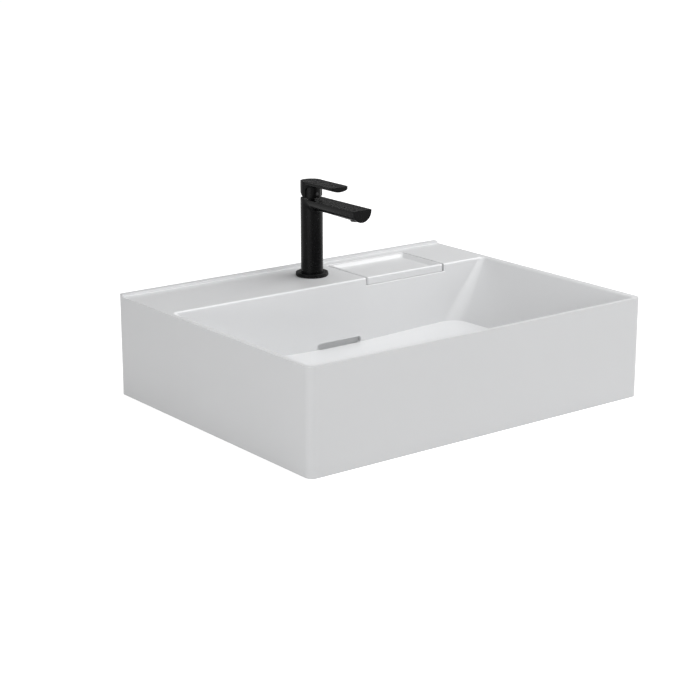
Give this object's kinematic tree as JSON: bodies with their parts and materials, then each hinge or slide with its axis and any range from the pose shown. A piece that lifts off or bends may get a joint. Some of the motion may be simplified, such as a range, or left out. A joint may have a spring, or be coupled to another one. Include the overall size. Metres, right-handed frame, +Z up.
{
  "type": "countertop basin with mixer tap",
  "caption": "Rectangular white glazed countertop basin with a rear deck, drain slot, lift-out soap tray and black lever mixer.",
  "frame": {"origin": "centre of the basin's footprint, on the counter", "axes": "+X to the user's right, +Y to the back, +Z up"},
  "size_m": [0.6, 0.47, 0.2966],
  "materials": {
    "glaze": "gloss",
    "pad_rubber": "matte",
    "waste_chrome": "polished",
    "grid_steel": "brushed",
    "seal_rubber": "matte",
    "slip_plastic": "matte",
    "raw_brass": "satin",
    "black_finish": "satin",
    "fixing_steel": "zinc plated",
    "aerator_plastic": "matte",
    "cartridge_plastic": "matte",
    "disc_ceramic": "lapped",
    "plug_plastic": "gloss"
  },
  "bodies": {
    "basin": {"basin_body": "glaze", "waste_body": "waste_chrome", "waste_grid": "grid_steel", "waste_grid_screw": "grid_steel", "waste_seal_upper": "seal_rubber", "waste_seal_lower": "seal_rubber", "waste_slip_washer": "slip_plastic", "waste_nut": "raw_brass", "tap_base_gasket": "seal_rubber", "tap_base_ring": "black_finish", "tap_body": "black_finish", "tap_stud": "fixing_steel", "tap_clamp_gasket": "seal_rubber", "tap_clamp_washer": "fixing_steel", "tap_fixing_nut": "fixing_steel", "aerator_housing": "aerator_plastic", "aerator_insert": "aerator_plastic", "aerator_seal": "seal_rubber", "cartridge_base": "cartridge_plastic", "cartridge_seal_hot": "seal_rubber", "cartridge_seal_cold": "seal_rubber", "cartridge_fixed_disc": "disc_ceramic", "cartridge_housing": "cartridge_plastic", "cartridge_nut": "raw_brass"},
    "swivel": {"cartridge_turret": "cartridge_plastic", "cartridge_moving_disc": "disc_ceramic", "stem_pin": "fixing_steel"},
    "lever": {"lever_handle": "black_finish", "cartridge_stem": "raw_brass", "lever_screw": "fixing_steel", "lever_plug": "plug_plastic"},
    "tray": {"soap_tray": "glaze", "tray_pad_1": "pad_rubber", "tray_pad_2": "pad_rubber", "tray_pad_3": "pad_rubber", "tray_pad_4": "pad_rubber"}
  },
  "joints": [
    {"name": "lever_swivel", "type": "hinge", "parent": "basin", "child": "swivel", "pos_m": [0, 0.168, 0.264], "axis": [0, 0, 1], "range_deg": [-45, 45]},
    {"name": "lever_tip", "type": "hinge", "parent": "swivel", "child": "lever", "pos_m": [0, 0.168, 0.264], "axis": [-1, 0, 0], "range_deg": [0, 25]},
    {"name": "tray_lift", "type": "slide", "parent": "basin", "child": "tray", "axis": [0, 0, 1], "range_m": [0, 0.06]}
  ]
}
